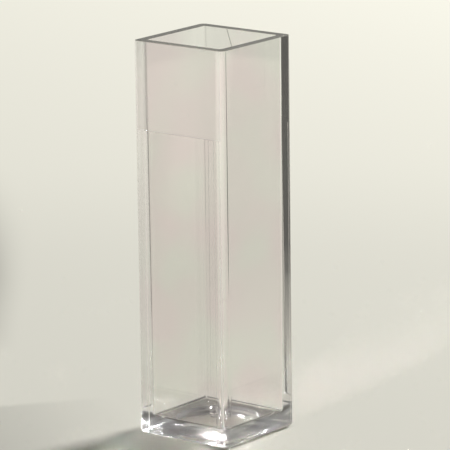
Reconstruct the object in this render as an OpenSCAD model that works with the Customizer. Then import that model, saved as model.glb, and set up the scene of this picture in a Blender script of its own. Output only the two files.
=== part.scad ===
// Clear moulded cuvette: a square, open-topped sample cell with a 10 mm light path.
// One piece. The origin is at the centre of the base, +Z runs up to the mouth,
// and the two optical windows face -Y and +Y. All lengths are in millimetres.

/* [Body] */
// Outside width, along X
body_w = 12.5; // [11.8:0.1:16]
// Outside depth through the windows, along Y
body_d = 12.5; // [11.8:0.1:16]
// Height from the base to the rim
body_h = 45; // [40:0.5:70]
// Radius of the upright outside corners and of the edges round the base
edge_r = 0.65; // [0.3:0.05:1]

/* [Cavity] */
// Inside width, along X, at the height of the beam
cavity_w = 10; // [9:0.1:10.4]
// Light path between the windows, along Y, at the height of the beam
light_path = 10; // [9:0.1:10.4]
// Height of the beam above the base, where the light path is measured
beam_h = 15; // [8.5:0.5:20]
// Draft of each inside wall, in degrees, which widens the cavity upwards
draft = 0.25; // [0.1:0.05:0.4]
// Radius of the upright inside corners
inner_r = 0.5; // [0.5:0.05:0.8]
// Height of the cavity's floor above the bench
floor_t = 2; // [1.7:0.1:3.5]
// Radius of the fillet between the floor and the walls
floor_r = 0.35; // [0.2:0.05:0.5]

/* [Windows] */
// Width of each optical window
window_w = 9.7; // [8:0.1:10.4]
// Height from the base to the top edge of each window
window_h = 35; // [25:0.5:38]
// Depth of each window below the face round it, which keeps it off scratches
window_recess = 0.15; // [0.05:0.05:0.3]

/* [Underside] */
// Diameter of the dished recess under the base, at the edge of its dish
hollow_d = 8.6; // [6:0.1:9.8]
// Depth of the recess at its centre, which sets the thickness of the floor there
hollow_depth = 1.2; // [0.6:0.05:1.3]
// Height of the short side wall between the bench and the edge of the dish
hollow_edge = 0.3; // [0.1:0.05:0.4]
// Draft of that side wall, in degrees, which widens it downwards
hollow_draft = 3; // [1:0.5:8]
// Diameter of the moulding gate's pip, on the floor and in the recess
gate_d = 0.9; // [0.6:0.1:2]
// Height of the pip above the floor
gate_rise = 0.9; // [0.2:0.1:1.2]
// Length of the gate's stub below the top of the dish
gate_drop = 0.4; // [0.1:0.05:0.5]

/* [Hidden] */

// Number of sides on a full circle, and on the small roundings of the edges
$fn = 64;
EDGE_FN = 40;
// Overlap of each cut past the face that it opens
CUT = 1;

CLEAR = [0.86, 0.87, 0.84, 0.45];

// Growth of the cavity on each side between two heights
function growth(from_z, to_z) = (to_z - from_z) * tan(draft);
// Half size of the cavity at height z, for a wall-to-wall size given at the beam
function half_at(size, z) = size / 2 + growth(beam_h, z);

// Lower end of an upright edge of radius r, rounded by foot where it meets the flat below
module edge_foot(r, foot) {
    rotate_extrude($fn = EDGE_FN)
        intersection() {
            translate([r - foot, foot])
                circle(r = foot, $fn = EDGE_FN);
            square([r, foot]);
        }
}

// Outside of the body: the hull of four posts with ball-shaped feet, one at each corner
module outside() {
    hull()
        for (x = [-1, 1], y = [-1, 1])
            translate([x * (body_w / 2 - edge_r), y * (body_d / 2 - edge_r), 0]) {
                edge_foot(edge_r, edge_r);
                translate([0, 0, edge_r])
                    cylinder(r = edge_r, h = body_h - edge_r, $fn = EDGE_FN);
            }
}

// Inside of the cuvette, drafted and filleted, open through the rim
module cavity() {
    top = body_h + CUT;
    floor_x = half_at(cavity_w, floor_t) - inner_r;
    floor_y = half_at(light_path, floor_t) - inner_r;
    top_x = half_at(cavity_w, top) - inner_r;
    top_y = half_at(light_path, top) - inner_r;
    hull()
        for (x = [-1, 1], y = [-1, 1]) {
            translate([x * floor_x, y * floor_y, floor_t])
                edge_foot(inner_r, floor_r);
            translate([x * top_x, y * top_y, top - CUT / 2])
                cylinder(r = inner_r, h = CUT / 2, $fn = EDGE_FN);
        }
}

// Shallow pocket that sets the window on one side (-1 or 1 along Y) below its face
module window_pocket(side) {
    translate([-window_w / 2, side * body_d / 2, -CUT])
        translate([0, side > 0 ? -window_recess : -CUT, 0])
            cube([window_w, window_recess + CUT, window_h + CUT]);
}

// Dished recess under the base: a drafted side wall, closed above by part of a large ball.
// It keeps the middle of the base and the gate's stub off the bench.
module underside_recess() {
    rise = hollow_depth - hollow_edge;
    ball_r = (pow(hollow_d / 2, 2) + pow(rise, 2)) / (2 * rise);
    slope = tan(hollow_draft);
    intersection() {
        translate([0, 0, hollow_depth - ball_r])
            sphere(r = ball_r);
        translate([0, 0, -CUT])
            cylinder(d1 = hollow_d + 2 * slope * (hollow_edge + CUT),
                     d2 = hollow_d - 2 * slope * rise, h = hollow_depth + CUT);
    }
}

// Pip on the floor and stub under it, left where the plastic entered the mould
module gate_mark() {
    stub_z = hollow_depth - gate_drop;
    translate([0, 0, stub_z])
        cylinder(d = gate_d, h = floor_t + gate_rise - stub_z);
}

module cuvette() {
    color(CLEAR)
        union() {
            difference() {
                outside();
                cavity();
                for (side = [-1, 1])
                    window_pocket(side);
                underside_recess();
            }
            gate_mark();
        }
}

cuvette();
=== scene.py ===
import math

import bmesh
import bpy
from mathutils import Matrix, Vector


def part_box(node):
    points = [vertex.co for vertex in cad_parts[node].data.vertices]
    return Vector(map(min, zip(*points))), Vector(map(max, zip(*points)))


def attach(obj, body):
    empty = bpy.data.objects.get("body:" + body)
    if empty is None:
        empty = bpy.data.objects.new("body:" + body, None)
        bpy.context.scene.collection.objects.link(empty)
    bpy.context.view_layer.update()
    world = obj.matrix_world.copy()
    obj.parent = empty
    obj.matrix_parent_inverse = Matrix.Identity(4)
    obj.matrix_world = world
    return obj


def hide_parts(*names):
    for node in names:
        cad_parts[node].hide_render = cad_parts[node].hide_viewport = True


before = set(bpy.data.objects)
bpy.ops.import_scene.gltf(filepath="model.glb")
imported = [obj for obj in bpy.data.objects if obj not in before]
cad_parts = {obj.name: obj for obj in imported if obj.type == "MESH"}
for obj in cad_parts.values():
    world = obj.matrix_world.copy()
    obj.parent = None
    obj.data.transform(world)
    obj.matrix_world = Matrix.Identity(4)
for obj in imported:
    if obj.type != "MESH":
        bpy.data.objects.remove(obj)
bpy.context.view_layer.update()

bl_info = {
    "name": "Clear Cuvette",
    "version": (1, 0, 0),
    "blender": (4, 5, 0),
    "location": "View3D > Sidebar > Cuvette",
    "description": "Builds a clear moulded cuvette and a pale studio round it",
    "category": "Object",
}

MM = 0.001
NODE = "cuvette"
LOW, HIGH = (Vector(corner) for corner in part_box(NODE))

ROUND = 8  # segments in a quarter turn of an edge's rounding
FILLET = 6  # segments in the fillet round the cavity's floor
RIM = 3  # segments in the small rounding of the rim
CIRCLE = 96  # segments in a full turn of the pip and the recess
DISH = 20  # rings of the dish, from its edge to the stub
SAME = 1e-7  # two points closer than this are one
SHARP = math.radians(30.0)  # faces that meet at more than this keep a sharp edge
HAIR = 0.05 * MM  # how far a masked zone reaches past the face that it ends on
FLOOR_SIZE = 3.0  # half the width of the floor
FLOOR_GAP = 0.03 * MM  # drop of the floor below the base, so that their faces don't meet

# The camera's angles are in degrees and its lengths in millimetres
CAMERA_AZIMUTH = 38.01  # turn from -Y towards +X
CAMERA_ELEVATION = 13.13  # height above the horizon
CAMERA_ROLL = -0.72  # turn about the line of sight
CAMERA_DISTANCE = 461.7  # distance from the aim
AIM_HEIGHT = 22.5  # height of the point from which the aim is set off
AIM_RIGHT = 1.146  # distance of the aim to the right of that point
AIM_UP = 1.172  # distance of the aim above that point
LENS = 330.77  # focal length


# ---------------------------------------------------------------- sizes and colours

def length(name, description, millimetres):
    """A size in metres, given here in millimetres."""
    return bpy.props.FloatProperty(
        name=name, description=description, default=millimetres * MM,
        min=0.0, precision=5, subtype="DISTANCE", unit="LENGTH",
    )


def angle(name, description, degrees, top=90.0):
    """An angle in radians, given here in degrees."""
    return bpy.props.FloatProperty(
        name=name, description=description, default=math.radians(degrees),
        min=math.radians(-top), max=math.radians(top), subtype="ANGLE",
    )


def colour(name, description, rgb):
    return bpy.props.FloatVectorProperty(
        name=name, description=description, default=rgb,
        size=3, min=0.0, max=1.0, subtype="COLOR",
    )


def amount(name, description, value, top=1.0):
    return bpy.props.FloatProperty(
        name=name, description=description, default=value,
        min=0.0, max=top, subtype="FACTOR",
    )


class CUVETTE_PG_body(bpy.types.PropertyGroup):
    """Sizes of the moulded body."""

    width: length("Width", "Outside width along X", (HIGH.x - LOW.x) / MM)
    depth: length("Depth", "Outside depth through the windows, along Y", (HIGH.y - LOW.y) / MM)
    height: length("Height", "Height from the base to the rim", (HIGH.z - LOW.z) / MM)
    edge_radius: length("Edge radius", "Rounding of the upright and bottom edges", 0.65)
    rim_radius: length("Rim radius", "Small rounding of the two edges of the rim", 0.06)
    bore: length("Inside width", "Wall-to-wall size of the cavity at the beam", 10.0)
    beam_height: length("Beam height", "Height at which the inside width is measured", 15.0)
    draft: angle("Draft", "Slope of each inside wall, which widens the cavity upwards", 0.25, 2.0)
    bore_radius: length("Inside corner radius", "Radius of the upright inside corners", 0.35)
    floor_height: length("Floor height", "Height of the cavity's floor above the bench", 2.0)
    floor_radius: length("Floor fillet", "Rounding between the floor and the walls", 0.35)
    window_width: length("Window width", "Width of each recessed window", 9.7)
    window_height: length("Window height", "Top edge of each window above the base", 35.0)
    window_recess: length("Window recess", "Depth of the -Y window below its face", 0.15)
    rear_recess: length("Rear recess", "Depth of the +Y window below its face", 0.03)
    recess_width: length("Recess width", "Diameter of the recess, at the edge of its dish", 8.6)
    recess_depth: length("Recess depth", "Depth of the recess at its centre", 1.2)
    recess_edge: length("Recess edge", "Height of the side wall up to the edge of the dish", 0.3)
    recess_draft: angle("Recess draft", "Slope of the recess's side wall", 3.0, 10.0)
    pip_width: length("Pip width", "Diameter of the pip left by the moulding gate", 0.9)
    pip_rise: length("Pip height", "Height of the pip above the cavity's floor", 0.9)
    pip_drop: length("Stub length", "Length of the stub below the top of the dish", 0.4)


class CUVETTE_PG_plastic(bpy.types.PropertyGroup):
    """Finish of the clear plastic."""

    warm_tint: colour("Warm tint", "Tint of the plastic where moulding stress turns it pink",
                      (0.985, 0.94, 0.947))
    cool_tint: colour("Cool tint", "Tint of the plastic elsewhere", (0.973, 0.974, 0.955))
    depth_colour: colour("Depth colour", "Colour that the thickness of the plastic lets through",
                         (0.54, 0.535, 0.525))
    depth_density: bpy.props.FloatProperty(
        name="Depth density", description="How strongly its thickness darkens the plastic",
        default=24.0, min=0.0, max=1000.0,
    )
    tint_size: length("Tint size", "Width of the soft zones of each tint", 7.0)
    tint_low: amount("Tint low", "Value of the noise below which the tint is cool", 0.4)
    tint_high: amount("Tint high", "Value of the noise above which the tint is warm", 0.6)
    ior: bpy.props.FloatProperty(
        name="IOR", description="Index of refraction of moulded polystyrene",
        default=1.59, min=1.0, max=2.5,
    )
    polish: amount("Polished roughness", "Roughness of the polished faces", 0.0)
    satin: amount("Satin roughness", "Roughness of the band above the -Y window", 0.3)
    base_satin: amount("Base roughness", "Roughness of the underside", 0.21)
    rim_satin: amount("Rim roughness", "Roughness of the flat top of the rim", 0.2)
    rim_matte: amount("Rim matte", "Share of light that the flat top of the rim scatters", 0.2)
    flaw_place: length("Flaw place", "Distance of the hairline flaw from the middle at the rim", 1.95)
    flaw_length: length("Flaw length", "Height of the hairline flaw below the rim", 2.0)
    flaw_width: length("Flaw width", "Width of the hairline flaw", 0.16)
    flaw_depth: length("Flaw depth", "Reach of the hairline flaw into the wall", 0.3)
    flaw_lean: amount("Flaw lean", "Run of the hairline flaw along the wall per unit of height", 0.35)
    flaw_colour: colour("Flaw colour", "Tint of the hairline flaw", (0.34, 0.34, 0.32))
    rim_tint: colour("Rim tint", "Tint of the flat top of the rim", (0.93, 0.90, 0.76))
    base_tint: colour("Base tint", "Tint of the base, which is clearer than the walls",
                      (1.0, 1.0, 1.0))
    base_start: length("Base start", "Distance over the floor at which the walls' tint begins", 0.2)
    base_end: length("Base end", "Distance over the floor at which the walls' tint is full", 1.2)
    # Painted shade: the lip tint darkens the -X and +Y walls just below the rim; it is shade, not a
    # colour of the plastic.
    lip_painted_shade: colour("Lip tint", "Extra tint of the -X and +Y walls beside the rim",
                     (0.90, 0.905, 0.91))
    lip_shade_start: length("Lip start", "Distance below the rim at which the extra tint begins", 3.6)
    lip_shade_full: length("Lip full", "Distance below the rim at which the extra tint is full", 2.4)


class CUVETTE_PG_stage(bpy.types.PropertyGroup):
    """Floor, lamp and camera."""

    floor_colour: colour("Floor colour", "Colour of the pale floor", (0.80, 0.785, 0.69))
    floor_rough: amount("Floor roughness", "Roughness of the pale floor", 0.9)
    floor_sheen: amount("Floor sheen", "Strength of the soft reflection of the floor", 0.15)
    # Painted shade: the shade colour, strips and wedges darken the floor where it stands for shaded
    # floor.
    shade_colour: colour("Shade colour", "Colour of the floor in the dark strips",
                         (0.065, 0.065, 0.06))
    shade_azimuth: angle("Shade azimuth", "Direction of the dark strips, turned from +X", 232.9, 360.0)
    shade_width: length("Shade width", "Width of the dark strip in front", 27.0)
    shade_offset: length("Shade offset", "Distance of its middle line from the axis", 3.5)
    back_width: length("Back width", "Width of the dark strip behind", 11.0)
    back_offset: length("Back offset", "Distance of its middle line from the axis", 6.0)
    front_start: length("Front start", "Distance at which the strip in front begins to darken", 8.0)
    front_end: length("Front end", "Distance at which the strip in front is darkest", 76.0)
    front_top: amount("Front shade", "Greatest shade of the strip in front", 0.94)
    back_start: length("Back start", "Distance at which the strip behind begins to darken", 40.0)
    back_end: length("Back end", "Distance at which the strip behind is darkest", 160.0)
    back_top: amount("Back shade", "Greatest shade of the strip behind", 0.85)
    wedge_azimuth: angle("Wedge azimuth", "Middle of the dark wedge, turned from +X", 154.0, 360.0)
    wedge_width: angle("Wedge width", "Width of the dark wedge", 18.0)
    wedge_start: length("Wedge start", "Distance to the left at which the wedge begins", 24.0)
    left_azimuth: angle("Left azimuth", "Direction of the left, turned from +X", 218.0, 360.0)
    left_width: angle("Left width", "Width of the dark wedge at the left", 24.0)
    left_start: length("Left start", "Distance to the left at which that wedge begins", 50.0)
    wedge_soft: angle("Wedge softness", "Half width of the fade at each side of a wedge", 5.0)
    wedge_fade: length("Wedge fade", "Distance over which a wedge darkens", 12.0)
    wedge_top: amount("Wedge shade", "Greatest shade of each wedge", 0.85)
    strip_soft: length("Strip softness", "Half width of the fade at each side of a strip", 1.0)
    # Painted shade: the floor round the body is darkened by the close shade, fading out by the close
    # end.
    close_start: length("Close start", "Distance to which the floor is darkest round the body", 70.0)
    close_end: length("Close end", "Distance at which the floor has its full colour", 150.0)
    close_shade: amount("Close shade", "Shade of the floor round the body", 0.07)
    key_level: amount("Key level", "Light of the lamp on a white sheet that faces it", 1.68, 10.0)
    key_azimuth: angle("Key azimuth", "Direction of the key lamp, turned from +X", 82.3, 360.0)
    key_elevation: angle("Key elevation", "Height of the key lamp above the horizon", 22.0)
    key_distance: length("Key distance", "Distance of the key lamp", 1500.0)
    key_size: length("Key size", "Width of the key lamp", 300.0)
    room: amount("Room light", "Strength of the light from all round", 0.25, 5.0)


# ---------------------------------------------------------------- modelling helpers

def is_upright(edge):
    a, b = edge.verts
    return (a.co.xy - b.co.xy).length < SAME


def is_level(element, z):
    """Whether an edge or a face lies flat at height z."""
    return all(abs(v.co.z - z) < SAME for v in element.verts)


def flat_faces(bm, z):
    return [face for face in bm.faces if is_level(face, z)]


def round_edges(bm, edges, radius, segments):
    bmesh.ops.bevel(
        bm, geom=edges, offset=radius, offset_type="OFFSET", affect="EDGES",
        segments=segments, profile=0.5, material=-1, clamp_overlap=False,
    )


def block(bm, width, depth, low, high):
    """An upright box centred on the axis; returns its corners."""
    place = Matrix.Translation((0, 0, (low + high) / 2))
    size = Matrix.Diagonal((width, depth, high - low, 1))
    return bmesh.ops.create_cube(bm, size=1.0, matrix=place @ size)["verts"]


def cut(bm, faces, point, normal):
    """Divides only the faces given, along a plane."""
    near = set(faces)
    for face in faces:
        near.update(face.edges)
        near.update(face.verts)
    bmesh.ops.bisect_plane(bm, geom=list(near), dist=SAME, plane_co=point, plane_no=normal)


def is_kind(elements, kind):
    return [element for element in elements if isinstance(element, kind)]


# ---------------------------------------------------------------- the moulded body

def half_bore(size, z):
    """Half of the cavity's width at height z."""
    return size.bore / 2 + (z - size.beam_height) * math.tan(size.draft)


def outside(bm, size):
    block(bm, size.width, size.depth, 0.0, size.height)
    edges = [edge for edge in bm.edges if is_upright(edge) or is_level(edge, 0.0)]
    round_edges(bm, edges, size.edge_radius, ROUND)


def window_pocket(bm, size, side):
    """Sinks one window, on the side -1 or 1 along Y, and leaves a step at its top and sides."""
    face_y = size.depth / 2
    window_y = side * (face_y - (size.window_recess if side < 0 else size.rear_recess))

    def wall(width, top):
        centres = [(face, face.calc_center_median()) for face in bm.faces]
        return [
            face for face, centre in centres
            if side * centre.y > face_y - size.edge_radius
            and abs(centre.x) < width / 2 and centre.z < top
        ]

    flat_width = size.width - 2 * size.edge_radius
    cut(bm, wall(flat_width, size.height), (0, 0, size.window_height), (0, 0, 1))
    for x in (-size.window_width / 2, size.window_width / 2):
        cut(bm, wall(flat_width, size.window_height), (x, 0, 0), (1, 0, 0))
    cut(bm, wall(size.window_width, size.window_height), (0, window_y, 0), (0, 1, 0))

    proud = [
        face for face in wall(size.window_width, size.window_height)
        if side * (face.calc_center_median().y - window_y) > 0
    ]
    sunk = bmesh.ops.extrude_face_region(bm, geom=proud)["geom"]
    bmesh.ops.delete(bm, geom=proud, context="FACES")
    bmesh.ops.scale(
        bm, vec=(1, 0, 1), space=Matrix.Translation((0, -window_y, 0)),
        verts=is_kind(sunk, bmesh.types.BMVert),
    )
    bmesh.ops.remove_doubles(bm, verts=bm.verts, dist=SAME)


def cavity(bm, size):
    """Drafted, filleted inside, whose faces look into the cavity."""
    skin = set(bm.faces)
    foot, mouth = half_bore(size, size.floor_height), half_bore(size, size.height)
    corners = block(bm, 2 * mouth, 2 * mouth, size.floor_height, size.height)
    low = [corner for corner in corners if is_kind([corner], bmesh.types.BMVert)
           and abs(corner.co.z - size.floor_height) < SAME]
    bmesh.ops.scale(bm, vec=(foot / mouth, foot / mouth, 1), verts=low)
    sides = [edge for corner in low for edge in corner.link_edges
             if not is_level(edge, size.floor_height)]
    round_edges(bm, sides, size.bore_radius, ROUND)
    floor = flat_faces(bm, size.floor_height)
    round_edges(bm, list(floor[0].edges), size.floor_radius, FILLET)
    bmesh.ops.reverse_faces(bm, faces=[face for face in bm.faces if face not in skin])


def rim(bm, size):
    """Opens the mouth, joins the outside to the cavity, and breaks the rim's two edges."""
    bmesh.ops.delete(bm, geom=flat_faces(bm, size.height), context="FACES_ONLY")
    bmesh.ops.bridge_loops(bm, edges=[e for e in bm.edges if is_level(e, size.height)])
    bm.normal_update()
    edges = [
        edge for edge in bm.edges
        if is_level(edge, size.height) and abs(edge.calc_face_angle(0.0)) > 1.0
    ]
    round_edges(bm, edges, size.rim_radius, RIM)


def round_steps(bm, z, width, steps):
    """Raises or sinks a round stepped form from the flat face at height z.

    Each step is a rise and the growth of its ring, and the last ring is closed.
    """
    flat = flat_faces(bm, z)
    border = list(flat[0].edges)
    bmesh.ops.delete(bm, geom=flat, context="FACES_ONLY")
    ring = bmesh.ops.create_circle(
        bm, cap_ends=False, radius=width / 2, segments=CIRCLE,
        matrix=Matrix.Translation((0, 0, z)),
    )["verts"]
    edges = list({edge for vert in ring for edge in vert.link_edges})
    bmesh.ops.triangle_fill(bm, use_beauty=True, edges=border + edges, normal=(0, 0, 1))
    for rise, growth in steps:
        new = bmesh.ops.extrude_edge_only(bm, edges=edges)["geom"]
        ring = is_kind(new, bmesh.types.BMVert)
        edges = [e for e in is_kind(new, bmesh.types.BMEdge) if all(v in ring for v in e.verts)]
        bmesh.ops.translate(bm, vec=(0, 0, rise), verts=ring)
        bmesh.ops.scale(bm, vec=(growth, growth, 1), verts=ring)
    bmesh.ops.contextual_create(bm, geom=edges)


def pip(bm, size):
    """Pip on the cavity's floor, over the gate."""
    round_steps(bm, size.floor_height, size.pip_width, [(size.pip_rise, 1.0)])


def dish_steps(size):
    """Rings of the dish, which is part of a large ball, from its edge in to the stub."""
    edge, stub = size.recess_width / 2, size.pip_width / 2
    rise = size.recess_depth - size.recess_edge
    ball = (edge ** 2 + rise ** 2) / (2 * rise)
    radii = [edge + (stub - edge) * ring / DISH for ring in range(DISH + 1)]
    heights = [math.sqrt(ball ** 2 - radius ** 2) for radius in radii]
    return [
        (heights[ring] - heights[ring - 1], radii[ring] / radii[ring - 1])
        for ring in range(1, DISH + 1)
    ]


def underside(bm, size):
    """Round recess under the base, dished, with the gate's stub in it."""
    mouth = size.recess_width + 2 * size.recess_edge * math.tan(size.recess_draft)
    side_wall = [(size.recess_edge, size.recess_width / mouth)]
    round_steps(bm, 0.0, mouth, side_wall + dish_steps(size) + [(-size.pip_drop, 1.0)])


def make_object(name, bm):
    mesh = bpy.data.meshes.new(name)
    bm.to_mesh(mesh)
    bm.free()
    piece = bpy.data.objects.new(name, mesh)
    bpy.context.scene.collection.objects.link(piece)
    return piece


# ---------------------------------------------------------------- clear plastic

class Nodes:
    """Short way to add and join shader nodes."""

    def __init__(self, tree):
        self.tree = tree
        tree.nodes.clear()

    def add(self, kind, **settings):
        node = self.tree.nodes.new("ShaderNode" + kind)
        for name, value in settings.items():
            setattr(node, name, value)
        return node

    def join(self, start, end):
        self.tree.links.new(start, end)

    def math(self, operation, first, second=None, third=None):
        node = self.add("Math", operation=operation)
        for socket, value in zip(node.inputs, (first, second, third)):
            if isinstance(value, bpy.types.NodeSocket):
                self.join(value, socket)
            elif value is not None:
                socket.default_value = value
        return node.outputs[0]

    def ramp(self, value, start, end, top=1.0, kind="SMOOTHSTEP"):
        """Rise from 0 at start to top at end."""
        node = self.add("MapRange", interpolation_type=kind)
        self.join(value, node.inputs["Value"])
        for name, number in (("From Min", start), ("From Max", end), ("To Max", top)):
            node.inputs[name].default_value = number
        return node.outputs[0]

    def mix(self, share, first, second, blend="MIX"):
        """Colour that goes from first to second as share goes from 0 to 1."""
        node = self.add("Mix", data_type="RGBA", blend_type=blend)
        self.join(share, node.inputs[0])
        for socket, value in zip(node.inputs[6:8], (first, second)):
            if isinstance(value, bpy.types.NodeSocket):
                self.join(value, socket)
            else:
                socket.default_value = (*value, 1.0)
        return node.outputs[2]


def roughness(n, plastic, band, under, top):
    """Polished all over, except where one of the three masks is 1."""
    rough = n.math("MULTIPLY", band, plastic.satin)
    rough = n.math("MAXIMUM", rough, n.math("MULTIPLY", under, plastic.base_satin))
    rough = n.math("MAXIMUM", rough, n.math("MULTIPLY", top, plastic.rim_satin))
    return n.math("MAXIMUM", rough, plastic.polish)


def hairline(n, size, plastic, x, y, drop):
    """Leaning line on the inner face of the +Y wall, down from the rim."""
    leant = n.math("SUBTRACT", x, n.math("MULTIPLY", drop, plastic.flaw_lean))
    beside = n.math("ABSOLUTE", n.math("SUBTRACT", leant, -plastic.flaw_place))
    line = n.math("LESS_THAN", beside, plastic.flaw_width / 2)
    line = n.math("MULTIPLY", line, n.math("LESS_THAN", drop, plastic.flaw_length))
    inner_face = n.math("COMPARE", y, half_bore(size, size.height), plastic.flaw_depth)
    return n.math("MULTIPLY", line, inner_face)


def clear_plastic(size, plastic):
    """Clear polystyrene: polished, with a satin band over the -Y window and a satin underside.

    The walls on -X and +Y carry painted shade beside the rim, as a deeper tint, and the base has a
    clearer tint.
    """
    material = bpy.data.materials.new("clear_polystyrene")
    material.use_nodes = True
    n = Nodes(material.node_tree)
    point = n.add("TexCoord").outputs["Object"]
    place = n.add("SeparateXYZ")
    n.join(point, place.inputs[0])
    x, y, z = place.outputs

    front_face = n.math("LESS_THAN", y, HAIR - size.depth / 2)
    band = n.math("MULTIPLY", front_face, n.math("GREATER_THAN", z, size.window_height))
    under = n.math("LESS_THAN", z, size.recess_depth + HAIR)
    top = n.math("GREATER_THAN", z, size.height - size.rim_radius / 3)

    noise = n.add("TexNoise")
    n.join(point, noise.inputs["Vector"])
    noise.inputs["Scale"].default_value = 1.0 / plastic.tint_size
    noise.inputs["Detail"].default_value = 0.0
    spread = n.ramp(noise.outputs["Fac"], plastic.tint_low, plastic.tint_high)
    tint = n.mix(spread, plastic.cool_tint, plastic.warm_tint)

    # Painted shade on the -X and +Y walls just below the rim, multiplied into the tint.
    minus_x = n.math("LESS_THAN", x, -half_bore(size, 0))
    plus_y = n.math("GREATER_THAN", y, half_bore(size, 0))
    lip_shade_mask = n.ramp(z, size.height - plastic.lip_shade_start, size.height - plastic.lip_shade_full)
    lip_shade_mask = n.math("MULTIPLY", n.math("MAXIMUM", minus_x, plus_y), lip_shade_mask)
    tint = n.mix(lip_shade_mask, tint, plastic.lip_painted_shade, "MULTIPLY")

    drop = n.math("SUBTRACT", size.height, z)
    tint = n.mix(hairline(n, size, plastic, x, y, drop), tint, plastic.flaw_colour)
    walls = n.ramp(z, size.floor_height + plastic.base_start, size.floor_height + plastic.base_end)
    tint = n.mix(walls, plastic.base_tint, tint)
    tint = n.mix(top, tint, plastic.rim_tint)

    absorption = n.add("VolumeAbsorption")
    absorption.inputs["Color"].default_value = (*plastic.depth_colour, 1.0)
    absorption.inputs["Density"].default_value = plastic.depth_density
    shader = n.add("BsdfPrincipled")
    n.join(tint, shader.inputs["Base Color"])
    clear = n.math("SUBTRACT", 1.0, n.math("MULTIPLY", top, plastic.rim_matte))
    n.join(clear, shader.inputs["Transmission Weight"])
    shader.inputs["IOR"].default_value = plastic.ior
    n.join(roughness(n, plastic, band, under, top), shader.inputs["Roughness"])
    output = n.add("OutputMaterial")
    n.join(shader.outputs[0], output.inputs["Surface"])
    n.join(absorption.outputs[0], output.inputs["Volume"])
    return material


# ---------------------------------------------------------------- stage

def floor_shade(n, stage):
    """Share of the dark colour at each place of the floor, from 0 to 1.

    Two strips and two wedges of painted shade give the upright edges of the clear body their dark
    lines, and a painted shade round the body darkens the floor near it. All four strips and wedges are
    fixed on the floor, and can be seen on it from some sides.
    """
    point = n.add("TexCoord").outputs["Object"]
    place = n.add("SeparateXYZ")
    n.join(point, place.inputs[0])
    x, y = place.outputs[:2]
    turn = n.math("ARCTAN2", y, x)
    turn = n.math("ADD", turn, n.math("MULTIPLY", n.math("LESS_THAN", turn, 0.0), 2 * math.pi))

    def towards(azimuth):
        """Distance along one direction of the floor."""
        dot = n.add("VectorMath", operation="DOT_PRODUCT")
        n.join(point, dot.inputs[0])
        dot.inputs[1].default_value = (math.cos(azimuth), math.sin(azimuth), 0.0)
        return dot.outputs["Value"]

    def within(value, middle, width, soft):
        """1 where value is in a range round its middle, fading over soft on each side."""
        aside = n.math("ABSOLUTE", n.math("SUBTRACT", value, middle))
        return n.math("SUBTRACT", 1.0, n.ramp(aside, width / 2 - soft, width / 2 + soft))

    def strip(azimuth, offset, width, start, end, top):
        """Straight band that leaves the body one way and darkens with the distance."""
        inside = within(towards(azimuth - math.pi / 2), offset, width, stage.strip_soft)
        return n.math("MULTIPLY", inside, n.ramp(towards(azimuth), start, end, top, "LINEAR"))

    def wedge(azimuth, width, start):
        """Part of a turn about the body, dark past a distance to the left."""
        inside = within(turn, azimuth, width, stage.wedge_soft)
        dark = n.ramp(towards(stage.left_azimuth), start, start + stage.wedge_fade, stage.wedge_top)
        return n.math("MULTIPLY", inside, dark)

    shades = (
        strip(stage.shade_azimuth, stage.shade_offset, stage.shade_width,
              stage.front_start, stage.front_end, stage.front_top),
        strip(stage.shade_azimuth + math.pi, stage.back_offset, stage.back_width,
              stage.back_start, stage.back_end, stage.back_top),
        wedge(stage.wedge_azimuth, stage.wedge_width, stage.wedge_start),
        wedge(stage.left_azimuth, stage.left_width, stage.left_start),
    )
    shade = shades[0]
    for other in shades[1:]:
        shade = n.math("MAXIMUM", shade, other)
    # Painted shade round the body, added to the strips and wedges.
    distance = n.math("SQRT", n.math("ADD", n.math("MULTIPLY", x, x), n.math("MULTIPLY", y, y)))
    close = n.math("SUBTRACT", 1.0, n.ramp(distance, stage.close_start, stage.close_end))
    return n.math("ADD", shade, n.math("MULTIPLY", close, stage.close_shade))


def pale_floor(stage):
    """Wide pale floor, a hair below the base, with the painted shade of the dark strips and wedges in
    its colour.
    """
    bm = bmesh.new()
    bmesh.ops.create_grid(
        bm, x_segments=1, y_segments=1, size=FLOOR_SIZE,
        matrix=Matrix.Translation((0, 0, -FLOOR_GAP)),
    )
    floor = make_object("floor", bm)
    material = bpy.data.materials.new("pale_floor")
    material.use_nodes = True
    n = Nodes(material.node_tree)
    shader = n.add("BsdfPrincipled")
    tone = n.mix(floor_shade(n, stage), stage.floor_colour, stage.shade_colour)
    n.join(tone, shader.inputs["Base Color"])
    shader.inputs["Roughness"].default_value = stage.floor_rough
    shader.inputs["Specular IOR Level"].default_value = stage.floor_sheen
    n.join(shader.outputs[0], n.add("OutputMaterial").inputs["Surface"])
    floor.data.materials.append(material)


def key_lamp(stage):
    """Round lamp, whose power follows from the light that it gives a white sheet."""
    away = Vector((
        math.cos(stage.key_azimuth) * math.cos(stage.key_elevation),
        math.sin(stage.key_azimuth) * math.cos(stage.key_elevation),
        math.sin(stage.key_elevation),
    ))
    data = bpy.data.lights.new("key", "AREA")
    data.shape = "DISK"
    data.size = stage.key_size
    data.energy = stage.key_level * math.pi ** 2 * stage.key_distance ** 2
    lamp = bpy.data.objects.new("key", data)
    lamp.location = away * stage.key_distance
    lamp.rotation_euler = away.to_track_quat("Z", "Y").to_euler()
    bpy.context.scene.collection.objects.link(lamp)


def room_light(stage):
    world = bpy.data.worlds.new("room")
    world.use_nodes = True
    n = Nodes(world.node_tree)
    back = n.add("Background")
    back.inputs["Color"].default_value = (1.0, 1.0, 1.0, 1.0)
    back.inputs["Strength"].default_value = stage.room
    n.join(back.outputs[0], n.add("OutputWorld").inputs["Surface"])
    bpy.context.scene.world = world


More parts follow.
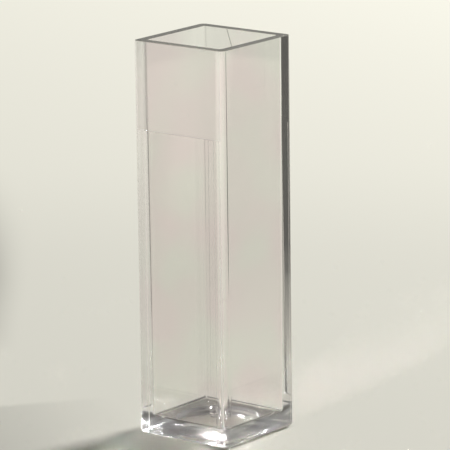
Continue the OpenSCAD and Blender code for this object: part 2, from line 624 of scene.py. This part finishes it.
def camera():
    """Long lens on the body, from one side and a little above, with a slight roll."""
    angles = (CAMERA_AZIMUTH, CAMERA_ELEVATION, CAMERA_ROLL)
    azimuth, elevation, roll = (math.radians(degrees) for degrees in angles)
    away = Vector((
        math.sin(azimuth) * math.cos(elevation),
        -math.cos(azimuth) * math.cos(elevation),
        math.sin(elevation),
    ))
    level = Vector((0, 0, 1)).cross(away).normalized()
    upright = away.cross(level)
    right = math.cos(roll) * level + math.sin(roll) * upright
    up = -math.sin(roll) * level + math.cos(roll) * upright
    aim = Vector((0, 0, AIM_HEIGHT)) + AIM_RIGHT * right + AIM_UP * up
    data = bpy.data.cameras.new("camera")
    data.sensor_width = 36.0
    data.lens = LENS
    data.clip_start, data.clip_end = 0.01, 50.0
    thing = bpy.data.objects.new("camera", data)
    turn = Matrix((right, up, away)).transposed().to_4x4()
    thing.matrix_world = Matrix.Translation((aim + CAMERA_DISTANCE * away) * MM) @ turn
    bpy.context.scene.collection.objects.link(thing)
    bpy.context.scene.camera = thing


# ---------------------------------------------------------------- operators and panel

class CUVETTE_OT_body(bpy.types.Operator):
    """Build the one moulded piece of clear plastic"""

    bl_idname = "cuvette.body"
    bl_label = "Cuvette Body"

    def execute(self, context):
        size = context.scene.cuvette_body
        bm = bmesh.new()
        outside(bm, size)
        for side in (-1, 1):
            window_pocket(bm, size, side)
        cavity(bm, size)
        rim(bm, size)
        pip(bm, size)
        underside(bm, size)
        bmesh.ops.recalc_face_normals(bm, faces=bm.faces)
        if any(not edge.is_manifold for edge in bm.edges) or bm.calc_volume(signed=True) <= 0:
            raise RuntimeError("the cuvette's body isn't closed")
        piece = make_object("cuvette_body", bm)
        piece.data.shade_smooth()
        weighted = piece.modifiers.new("flat faces stay flat", "WEIGHTED_NORMAL")
        weighted.keep_sharp = True
        piece.data.set_sharp_from_angle(angle=SHARP)
        piece.data.materials.append(clear_plastic(size, context.scene.cuvette_plastic))
        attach(piece, "root")
        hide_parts(NODE)
        return {"FINISHED"}


class CUVETTE_OT_stage(bpy.types.Operator):
    """Set the floor, the lamp, the room's light and the camera"""

    bl_idname = "cuvette.stage"
    bl_label = "Stage"

    def execute(self, context):
        stage = context.scene.cuvette_stage
        scene = context.scene
        pale_floor(stage)
        key_lamp(stage)
        room_light(stage)
        camera()
        scene.view_settings.view_transform = "Standard"
        scene.cycles.max_bounces = 32
        scene.cycles.glossy_bounces = 24
        scene.cycles.transmission_bounces = 24
        scene.cycles.sample_clamp_indirect = 0.0
        scene.cycles.blur_glossy = 0.0
        scene.cycles.use_adaptive_sampling = False
        return {"FINISHED"}


class CUVETTE_PT_panel(bpy.types.Panel):
    """Buttons that build the cuvette and its stage"""

    bl_idname = "CUVETTE_PT_panel"
    bl_label = "Clear Cuvette"
    bl_space_type = "VIEW_3D"
    bl_region_type = "UI"
    bl_category = "Cuvette"

    def draw(self, context):
        for group, operator in (
            ("cuvette_body", "cuvette.body"),
            ("cuvette_plastic", None),
            ("cuvette_stage", "cuvette.stage"),
        ):
            settings = getattr(context.scene, group)
            column = self.layout.column()
            for name in settings.__annotations__:
                column.prop(settings, name)
            if operator:
                column.operator(operator)


GROUPS = {
    "cuvette_body": CUVETTE_PG_body,
    "cuvette_plastic": CUVETTE_PG_plastic,
    "cuvette_stage": CUVETTE_PG_stage,
}
CLASSES = (*GROUPS.values(), CUVETTE_OT_body, CUVETTE_OT_stage, CUVETTE_PT_panel)


def register():
    for kind in CLASSES:
        bpy.utils.register_class(kind)
    for name, group in GROUPS.items():
        setattr(bpy.types.Scene, name, bpy.props.PointerProperty(type=group))


def unregister():
    for name in GROUPS:
        delattr(bpy.types.Scene, name)
    for kind in reversed(CLASSES):
        bpy.utils.unregister_class(kind)


def main():
    register()
    bpy.ops.cuvette.body()
    bpy.ops.cuvette.stage()


if __name__ == "__main__":
    main()
